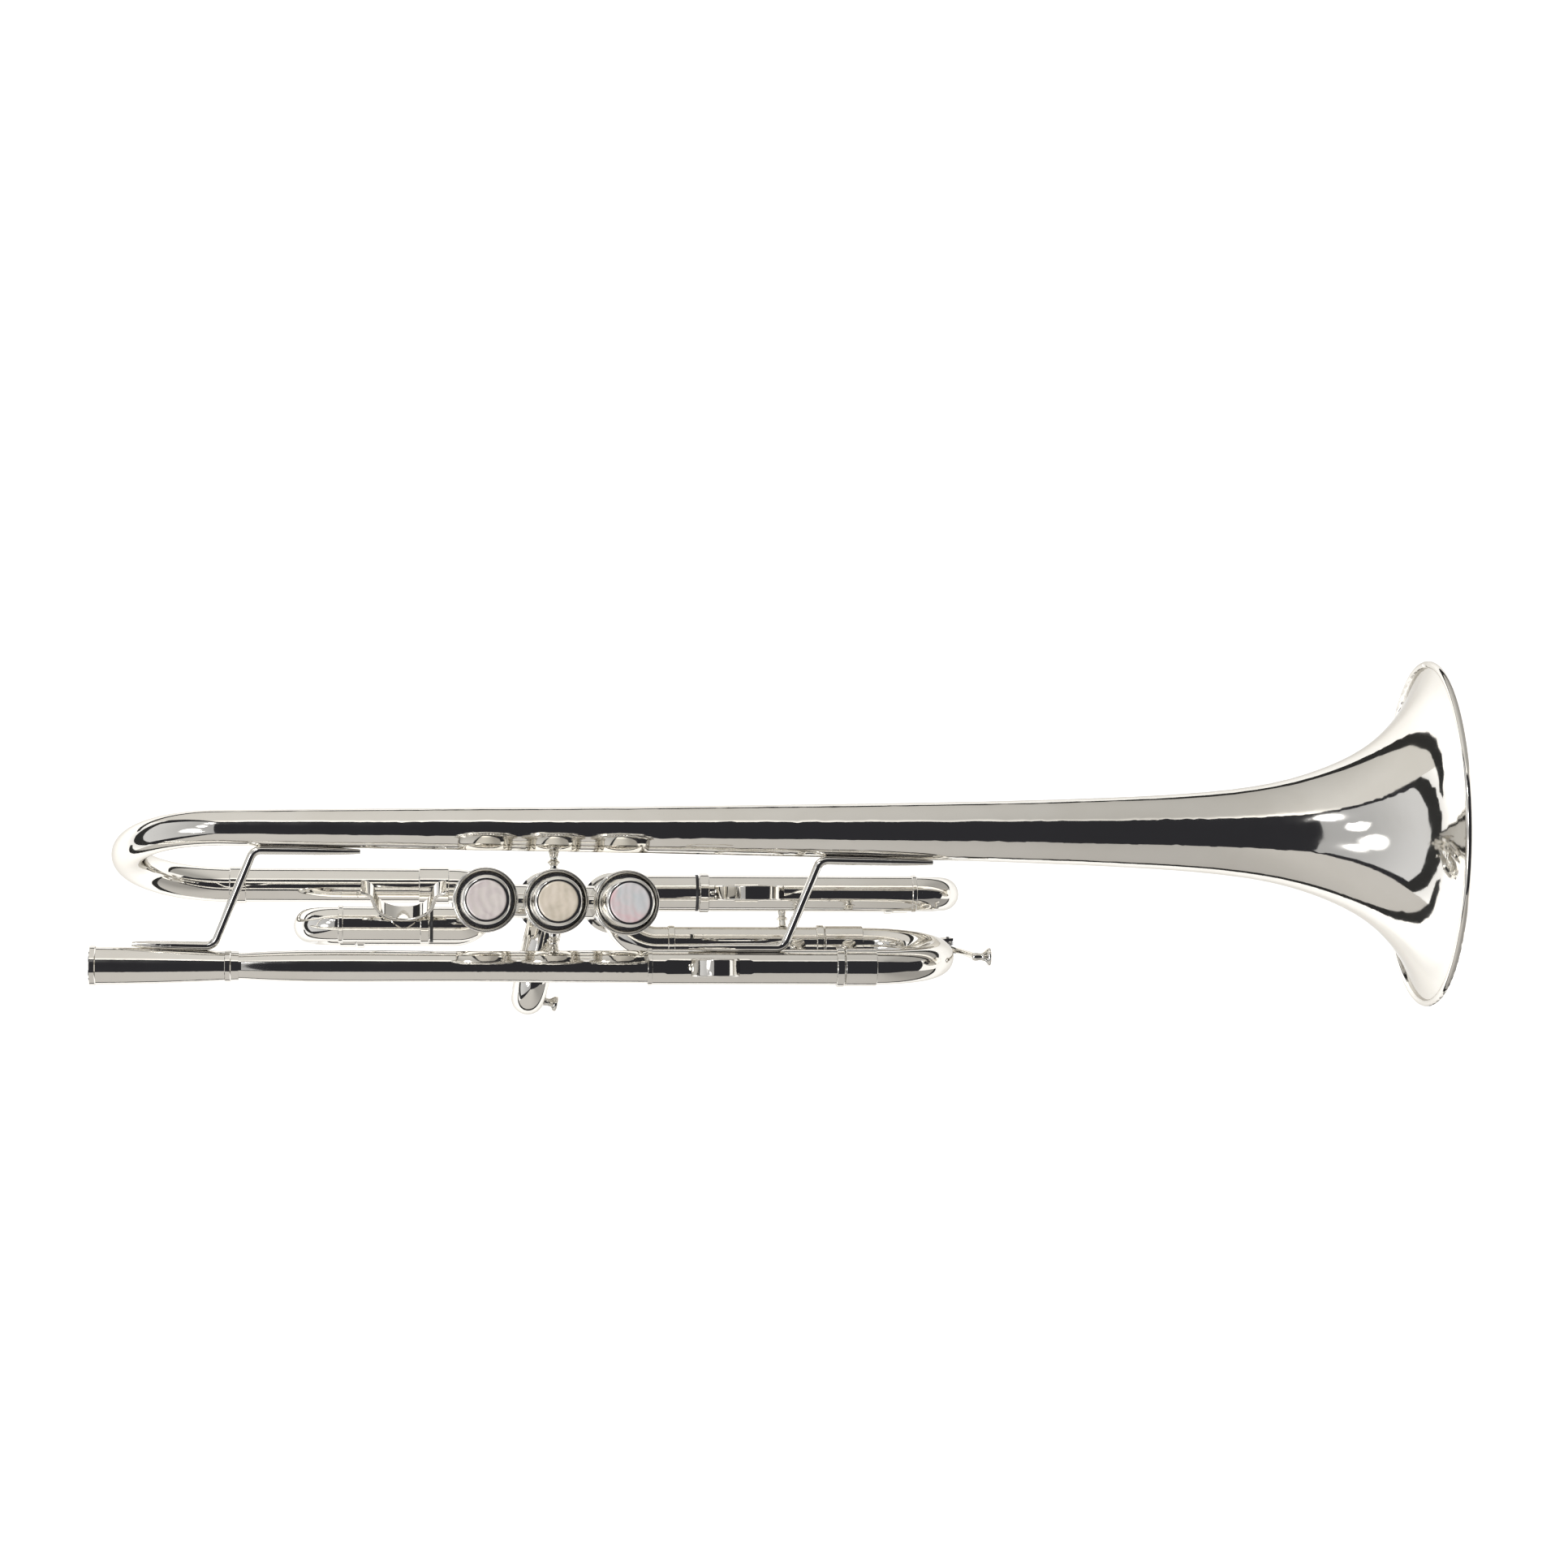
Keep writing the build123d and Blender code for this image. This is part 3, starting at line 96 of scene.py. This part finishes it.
def object_coords(tree, scale=(1, 1, 1), offset=(0, 0, 0)):
    mapping = tree.nodes.new("ShaderNodeMapping")
    mapping.inputs["Scale"].default_value = scale
    mapping.inputs["Location"].default_value = offset
    tree.links.new(object_place(tree), mapping.inputs["Vector"])
    return mapping.outputs["Vector"]


def separate(tree, place):
    split = tree.nodes.new("ShaderNodeSeparateXYZ")
    tree.links.new(place, split.inputs["Vector"])
    return split.outputs["X"], split.outputs["Y"], split.outputs["Z"]


def pattern(tree, kind, where, **settings):
    """A procedural texture read at the given coordinates."""
    node = add(tree, kind, **settings)
    tree.links.new(where, node.inputs["Vector"])
    return node


def maths(tree, operation, *terms):
    """The result of a sum whose terms are numbers or other nodes' outputs."""
    node = add(tree, "ShaderNodeMath", operation=operation)
    for socket, term in zip(node.inputs, terms):
        if isinstance(term, float):
            socket.default_value = term
        else:
            tree.links.new(term, socket)
    return node.outputs[0]


def remap(tree, value, start, stop, first, last, shape="LINEAR"):
    """Runs from first to last while the value runs from start to stop, and stays there beyond."""
    node = add(tree, "ShaderNodeMapRange", interpolation_type=shape)
    for key, level in (("From Min", start), ("From Max", stop), ("To Min", first), ("To Max", last)):
        node.inputs[key].default_value = level
    tree.links.new(value, node.inputs["Value"])
    return node.outputs["Result"]


def ramp(tree, value, stops):
    """Colours by value; each stop is a position and a colour."""
    node = tree.nodes.new("ShaderNodeValToRGB")
    while len(node.color_ramp.elements) < len(stops):
        node.color_ramp.elements.new(0.5)
    for element, (position, colour) in zip(node.color_ramp.elements, stops):
        element.position = position
        element.color = (*colour, 1)
    tree.links.new(value, node.inputs["Fac"])
    return node.outputs["Color"]


def relief(tree, shader, height, strength, distance, under=None):
    """A bump on the shader, laid over an earlier bump's normal where one is given."""
    bump = add(tree, "ShaderNodeBump", Strength=strength, Distance=distance)
    tree.links.new(height, bump.inputs["Height"])
    if under is not None:
        tree.links.new(under, bump.inputs["Normal"])
    tree.links.new(bump.outputs["Normal"], shader.inputs["Normal"])


# ------------------------------------------------------------------ metals
NO_TINT = (1.0, 1.0, 1.0)
DARK_EDGE = (0.60, 0.585, 0.56)
HAIR_STRETCH = (0.12, 1.0, 1.0)
HAIR_DEPTH = 0.0002


def polished_metal(name, bright, dull, rough=(0.035, 0.075), scratch=0.02, scale=900.0, edge=NO_TINT):
    """Mirror metal with faint tone clouds, haze and hairline marks; edge tints grazing reflections."""
    mat, tree, shader = new_material(name)
    shader.inputs["Metallic"].default_value = 1.0
    shader.inputs["Specular Tint"].default_value = (*edge, 1)
    where = object_coords(tree)
    cloud = pattern(tree, "ShaderNodeTexNoise", where, Scale=34.0, Detail=4.0, Roughness=0.55)
    tone = ramp(tree, cloud.outputs["Fac"], [(0.32, dull), (0.62, bright)])
    tree.links.new(tone, shader.inputs["Base Color"])
    haze = pattern(tree, "ShaderNodeTexNoise", where, Scale=85.0, Detail=6.0, Roughness=0.6)
    tree.links.new(remap(tree, haze.outputs["Fac"], 0.3, 0.75, *rough), shader.inputs["Roughness"])
    long_way = object_coords(tree, HAIR_STRETCH)
    hair = pattern(tree, "ShaderNodeTexNoise", long_way, Scale=scale, Detail=3.0, Roughness=0.7)
    relief(tree, shader, hair.outputs["Fac"], scratch, HAIR_DEPTH)
    return mat


silver = polished_metal("silver_plate", (0.97, 0.95, 0.905), (0.925, 0.90, 0.845), edge=DARK_EDGE)
nickel_silver = polished_metal("nickel_silver", (0.83, 0.81, 0.76), (0.74, 0.72, 0.66),
                               (0.06, 0.12), 0.04, edge=DARK_EDGE)
monel = polished_metal("monel", (0.66, 0.64, 0.60), (0.52, 0.51, 0.48), (0.12, 0.22), 0.08, 1400.0)
spring_steel = polished_metal("spring_steel", (0.60, 0.60, 0.61), (0.42, 0.42, 0.44), (0.18, 0.32), 0.08)
guide_brass = polished_metal("guide_brass", (0.88, 0.70, 0.36), (0.72, 0.53, 0.24), (0.14, 0.26), 0.06)
brass_wire = polished_metal("brass_wire", (0.86, 0.67, 0.33), (0.70, 0.50, 0.22), (0.16, 0.28), 0.06)

GRIP_TEETH = 64.0
GRIP_RELIEF = 0.8
GRIP_DEPTH = 0.00025
TOP_GRIP = (0.0255, 0.0300)
BOTTOM_GRIP = (-0.0900, -0.0850)


def knurled_silver(name, centre, low, high):
    """Silver plate with a milled grip: straight ridges round a vertical axis between two heights."""
    mat = silver.copy()
    mat.name = name
    tree = mat.node_tree
    shader = principled(tree)
    hairline = shader.inputs["Normal"].links[0].from_node
    x, y, z = separate(tree, object_place(tree))
    east = maths(tree, "SUBTRACT", x, centre[0])
    north = maths(tree, "SUBTRACT", y, centre[1])
    angle = maths(tree, "ARCTAN2", north, east)
    ridge = maths(tree, "SINE", maths(tree, "MULTIPLY", angle, GRIP_TEETH))
    above = maths(tree, "GREATER_THAN", z, low)
    below = maths(tree, "LESS_THAN", z, high)
    height = maths(tree, "MULTIPLY", ridge, maths(tree, "MULTIPLY", above, below))
    relief(tree, shader, height, GRIP_RELIEF, GRIP_DEPTH, under=hairline.outputs["Normal"])
    return mat


# ------------------------------------------------------------------ pearl, felt, cork and rubber
SHELL_SCALE = (60.0, 60.0, 60.0)
SHELL_DEPTH = 0.0002
MATTE_DEPTH = 0.0004


def shell(name, low, mid, high, blush, offset):
    """Mother-of-pearl: wavy growth bands, drifting tints and a glassy polish."""
    mat, tree, shader = new_material(name)
    where = object_coords(tree, SHELL_SCALE, offset)
    drift = pattern(tree, "ShaderNodeTexNoise", where, Scale=1.7, Detail=3.0, Roughness=0.5, Distortion=1.2)
    tint = ramp(tree, drift.outputs["Fac"], [(0.30, low), (0.50, mid), (0.66, high), (0.80, blush)])
    bands = pattern(tree, "ShaderNodeTexWave", where, Scale=1.9, Distortion=7.0, Detail=3.0)
    mix = add(tree, "ShaderNodeMix", data_type="RGBA", blend_type="SOFT_LIGHT")
    mix.inputs["Factor"].default_value = 0.10
    tree.links.new(tint, mix.inputs["A"])
    tree.links.new(bands.outputs["Color"], mix.inputs["B"])
    tree.links.new(mix.outputs["Result"], shader.inputs["Base Color"])
    grain = pattern(tree, "ShaderNodeTexNoise", where, Scale=22.0, Detail=4.0)
    relief(tree, shader, grain.outputs["Fac"], 0.05, SHELL_DEPTH)
    shader.inputs["Roughness"].default_value = 0.24
    shader.inputs["Coat Weight"].default_value = 0.5
    shader.inputs["Coat Roughness"].default_value = 0.06
    return mat


def matte(name, dark, light, scale, rough, lumps, sheen=0.0, cells=False):
    """Felt, cork or rubber: two mixed tones with a lumpy or fibrous surface."""
    mat, tree, shader = new_material(name)
    where = object_coords(tree)
    if cells:
        value = pattern(tree, "ShaderNodeTexVoronoi", where, Scale=scale).outputs["Distance"]
    else:
        spots = pattern(tree, "ShaderNodeTexNoise", where, Scale=scale, Detail=8.0, Roughness=0.7)
        value = spots.outputs["Fac"]
    tree.links.new(ramp(tree, value, [(0.25, dark), (0.75, light)]), shader.inputs["Base Color"])
    grain = pattern(tree, "ShaderNodeTexNoise", where, Scale=scale * 2.2, Detail=8.0, Roughness=0.8)
    relief(tree, shader, grain.outputs["Fac"], lumps, MATTE_DEPTH)
    shader.inputs["Roughness"].default_value = rough
    shader.inputs["Sheen Weight"].default_value = sheen
    return mat


felt = matte("felt", (0.014, 0.013, 0.015), (0.060, 0.056, 0.060), 1600.0, 0.95, 0.7, sheen=0.35)
cork = matte("cork", (0.20, 0.105, 0.045), (0.60, 0.40, 0.22), 900.0, 0.85, 0.5, cells=True)
rubber = matte("rubber", (0.010, 0.010, 0.011), (0.030, 0.030, 0.032), 700.0, 0.48, 0.12)
pearls = (
    shell("pearl_mauve", (0.40, 0.35, 0.345), (0.47, 0.42, 0.41), (0.51, 0.47, 0.44),
          (0.47, 0.40, 0.42), (0.0, 0.0, 0.0)),
    shell("pearl_cream", (0.44, 0.39, 0.32), (0.52, 0.46, 0.38), (0.57, 0.51, 0.44),
          (0.49, 0.40, 0.34), (3.1, 1.4, 0.0)),
    shell("pearl_blue", (0.53, 0.37, 0.38), (0.47, 0.45, 0.45), (0.41, 0.44, 0.45),
          (0.55, 0.38, 0.39), (5.2, 7.3, 0.0)))

# ------------------------------------------------------------------ which part is made of what
LOOKS = {"tuning_slide_legs": nickel_silver, "bell_rim_wire": brass_wire, "slide_bumpers": rubber,
         "water_key_cork": cork, "water_key_spring": spring_steel, "water_key_pin": spring_steel}
for valve, axis, pearl in zip(VALVES, VALVE_AXES, pearls):
    LOOKS["piston_%d" % valve] = monel
    LOOKS["valve_spring_%d" % valve] = spring_steel
    LOOKS["valve_guide_%d" % valve] = guide_brass
    LOOKS["button_pearl_%d" % valve] = pearl
    LOOKS["button_felt_%d" % valve] = felt
    LOOKS["top_cap_%d" % valve] = knurled_silver("grip_top_%d" % valve, axis, *TOP_GRIP)
    LOOKS["bottom_cap_%d" % valve] = knurled_silver("grip_bottom_%d" % valve, axis, *BOTTOM_GRIP)

for name, obj in NODES.items():
    for slot in obj.material_slots:
        slot.material = LOOKS.get(name, silver)

# ------------------------------------------------------------------ rounded lips of the top caps
LIP_Z = 0.0350
LIP_INNER = 0.01000
LIP_OUTER = 0.01115
LIP_RISE = 0.00045
LIP_STEPS = 10
LIP_TURNS = 96


def turned_lip(name, centre):
    """A half-round bead standing on a top cap's edge, turned about the valve's axis."""
    middle = (LIP_INNER + LIP_OUTER) / 2
    half = (LIP_OUTER - LIP_INNER) / 2
    points = []
    faces = []
    for turn in range(LIP_TURNS):
        swing = math.tau * turn / LIP_TURNS
        for step in range(LIP_STEPS + 1):
            arc = math.pi * step / LIP_STEPS
            radius = middle + half * math.cos(arc)
            points.append((centre[0] + radius * math.cos(swing), centre[1] + radius * math.sin(swing),
                           LIP_Z + LIP_RISE * math.sin(arc)))
    row = LIP_STEPS + 1
    for turn in range(LIP_TURNS):
        here = turn * row
        there = ((turn + 1) % LIP_TURNS) * row
        for step in range(row):
            after = (step + 1) % row
            faces.append((here + step, there + step, there + after, here + after))
    mesh = bpy.data.meshes.new(name)
    mesh.from_pydata(points, [], faces)
    for face in mesh.polygons:
        face.use_smooth = True
    mesh.materials.append(silver)
    return in_scene(name, mesh)


for valve, axis in zip(VALVES, VALVE_AXES):
    lip = turned_lip("cap_lip_%d" % valve, axis)
    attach(lip, "trumpet_body")


def working_spring(valve):
    """The valve's coil as a separate copy of the imported spring, in spring steel, fixed to the trumpet
    body.
    """
    source = NODES["valve_spring_%d" % valve]
    coil = in_scene("working_spring_%d" % valve, source.data.copy())
    coil.matrix_world = source.matrix_world.copy()
    coil.data.materials.clear()
    coil.data.materials.append(spring_steel)
    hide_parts("valve_spring_%d" % valve)
    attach(coil, "trumpet_body")
    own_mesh(coil)


for valve, axis in zip(VALVES, VALVE_AXES):
    working_spring(valve)

# ------------------------------------------------------------------ glowing cards round the instrument
FLOOR_Z = -0.42
TENT_TOP = 1.30
SIDE_FOOT_Z = -0.27
WHITE = (1.0, 1.0, 1.0)
FLAG_LEVEL = 0.03
WALL_LEVEL = 1.05

# Edges that run along the instrument: rear x, front x, distance to the side, height.
SIDE_TOP = (-0.16, 1.9, 1.06, TENT_TOP)
SIDE_FOOT = (-0.45, 1.7, 0.50, SIDE_FOOT_Z)
SIDE_FLAG_TOP = (-1.10, 1.7, 0.50, SIDE_FOOT_Z)
SIDE_FLAG_FOOT = (-1.10, 1.7, 0.41, SIDE_FOOT_Z - 0.05)

# Edges that run across it: x, half the width, height.
BACK_TOP = (-0.16, 0.92, TENT_TOP)
BACK_FOOT = (-1.15, 0.95, 0.10)
BACK_FLAG_TOP = (-1.15, 1.3, 0.10)
BACK_FLAG_FOOT = (-1.10, 1.2, -0.18)
WALL_FOOT = (3.4, 2.4, FLOOR_Z)
WALL_TOP = (3.4, 2.4, 1.05)

# Glows on the cards: centre, reach, gain.
LEFT_GLOW = ((0.08, SIDE_TOP[2], TENT_TOP), 0.75, 0.85)
BELL_GLOWS = (((-0.36, 0.24, 1.06), 0.17, 7.0), ((-0.50, -0.20, 0.89), 0.27, 7.0))


def along(side, first, second):
    """Corners of a card between two edges along the instrument; side is 1 for the bell's side, or -1."""
    return [(first[0], side * first[2], first[3]), (first[1], side * first[2], first[3]),
            (second[1], side * second[2], second[3]), (second[0], side * second[2], second[3])]


def across(first, second):
    """Corners of a card between two edges across the instrument."""
    return [(first[0], -first[1], first[2]), (first[0], first[1], first[2]),
            (second[0], second[1], second[2]), (second[0], -second[1], second[2])]


def even(level):
    """A fade that stays at one level."""
    return 0.0, 1.0, level, level


def hot_spot(tree, place, centre, reach, gain):
    """A round soft glow: gain at the centre, nothing beyond the reach."""
    gap = add(tree, "ShaderNodeVectorMath", operation="DISTANCE")
    gap.inputs[1].default_value = centre
    tree.links.new(place, gap.inputs[0])
    return remap(tree, gap.outputs["Value"], 0.0, reach, gain, 0.0, "SMOOTHERSTEP")


def soft_card(name, corners, colour, fade, glows=()):
    """A glowing card, hidden from the camera; fade is start x, end x and the level at each."""
    mesh = bpy.data.meshes.new(name)
    mesh.from_pydata(corners, [], [(0, 1, 2, 3)])
    card = in_scene(name, mesh)
    card.visible_camera = False
    card.visible_shadow = False
    mat = bpy.data.materials.new(name)
    mat.use_nodes = True
    mesh.materials.append(mat)
    tree = mat.node_tree
    tree.nodes.clear()
    surface = tree.nodes.new("ShaderNodeOutputMaterial")
    light = tree.nodes.new("ShaderNodeEmission")
    light.inputs["Color"].default_value = (*colour, 1)
    tree.links.new(light.outputs["Emission"], surface.inputs["Surface"])
    place = object_place(tree)
    level = remap(tree, separate(tree, place)[0], *fade, "SMOOTHSTEP")
    for glow in glows:
        level = maths(tree, "ADD", level, hot_spot(tree, place, *glow))
    tree.links.new(level, light.inputs["Strength"])


soft_card("card_left", along(1, SIDE_TOP, SIDE_FOOT), (1.0, 0.975, 0.93), (0.0, 0.75, 0.68, 0.37),
          [LEFT_GLOW])
soft_card("card_right", along(-1, SIDE_TOP, SIDE_FOOT), (1.0, 0.965, 0.92), (0.1, 0.8, 0.57, 0.33))
soft_card("flag_left", along(1, SIDE_FLAG_TOP, SIDE_FLAG_FOOT), WHITE, even(FLAG_LEVEL))
soft_card("flag_right", along(-1, SIDE_FLAG_TOP, SIDE_FLAG_FOOT), WHITE, even(FLAG_LEVEL))
soft_card("card_back", across(BACK_TOP, BACK_FOOT), (0.99, 0.99, 1.0),
          (BACK_FOOT[0], BACK_TOP[0], 0.66, 0.42), BELL_GLOWS)
soft_card("flag_back", across(BACK_FLAG_TOP, BACK_FLAG_FOOT), WHITE, even(FLAG_LEVEL))
soft_card("wall_front", across(WALL_FOOT, WALL_TOP), (1.0, 0.99, 0.97), even(WALL_LEVEL))

# ------------------------------------------------------------------ floor, room and lamps
FLOOR_HALF = 6.0
FLOOR_CENTRE = (0.2, 0.02, FLOOR_Z)
FLOOR_GREY = (0.5, 0.5, 0.5, 1)
FLOOR_GLOW = (1.0, 0.997, 0.99, 1)
FLOOR_LEVEL = 0.86
DARK_ROOM = (0.026, 0.026, 0.03, 1)
LAMP_TARGET = Vector((0.22, 0.02, 0.0))

floor_mesh = bpy.data.meshes.new("floor")
floor_mesh.from_pydata([(-FLOOR_HALF, -FLOOR_HALF, 0), (FLOOR_HALF, -FLOOR_HALF, 0),
                        (FLOOR_HALF, FLOOR_HALF, 0), (-FLOOR_HALF, FLOOR_HALF, 0)], [], [(0, 1, 2, 3)])
floor = in_scene("floor", floor_mesh)
floor.location = FLOOR_CENTRE
floor_white, _, floor_shader = new_material("floor_white")
floor_shader.inputs["Base Color"].default_value = FLOOR_GREY
floor_shader.inputs["Roughness"].default_value = 0.9
floor_shader.inputs["Specular IOR Level"].default_value = 0.0
floor_shader.inputs["Emission Color"].default_value = FLOOR_GLOW
floor_shader.inputs["Emission Strength"].default_value = FLOOR_LEVEL
floor_mesh.materials.append(floor_white)

world = bpy.data.worlds.new("studio")
bpy.context.scene.world = world
world.use_nodes = True
world.node_tree.nodes["Background"].inputs["Color"].default_value = DARK_ROOM
world.node_tree.nodes["Background"].inputs["Strength"].default_value = 1.0


def round_lamp(name, place, size, watts):
    """A round lamp that faces the middle of the instrument."""
    light = bpy.data.lights.new(name, "AREA")
    light.shape = "DISK"
    light.size = size
    light.energy = watts
    lamp = in_scene(name, light)
    lamp.location = place
    lamp.rotation_euler = (LAMP_TARGET - Vector(place)).to_track_quat("-Z", "Y").to_euler()


round_lamp("lamp_left", (-0.35, 0.85, 1.5), 0.20, 16)
round_lamp("lamp_right", (-0.55, -0.55, 1.25), 0.22, 12)

# ------------------------------------------------------------------ camera
FILM = 36.0
LENS = 91.7
CAMERA_PLACE = Vector((0.12011, 0.02060, 1.39936))
LOOK = Vector((0.08609, 0.03115, -0.99580)).normalized()
SIDEWAYS = Vector((0.99627, 0.00332, 0.08624))

camera_data = bpy.data.cameras.new("camera")
camera_data.sensor_width = FILM
camera_data.sensor_height = FILM
camera_data.lens = LENS
camera = in_scene("camera", camera_data)
right = (SIDEWAYS - LOOK * SIDEWAYS.dot(LOOK)).normalized()
facing = Matrix((right, right.cross(LOOK), -LOOK)).transposed().to_4x4()
camera.matrix_world = Matrix.Translation(CAMERA_PLACE) @ facing
bpy.context.scene.camera = camera

bpy.context.scene.view_settings.view_transform = "Standard"
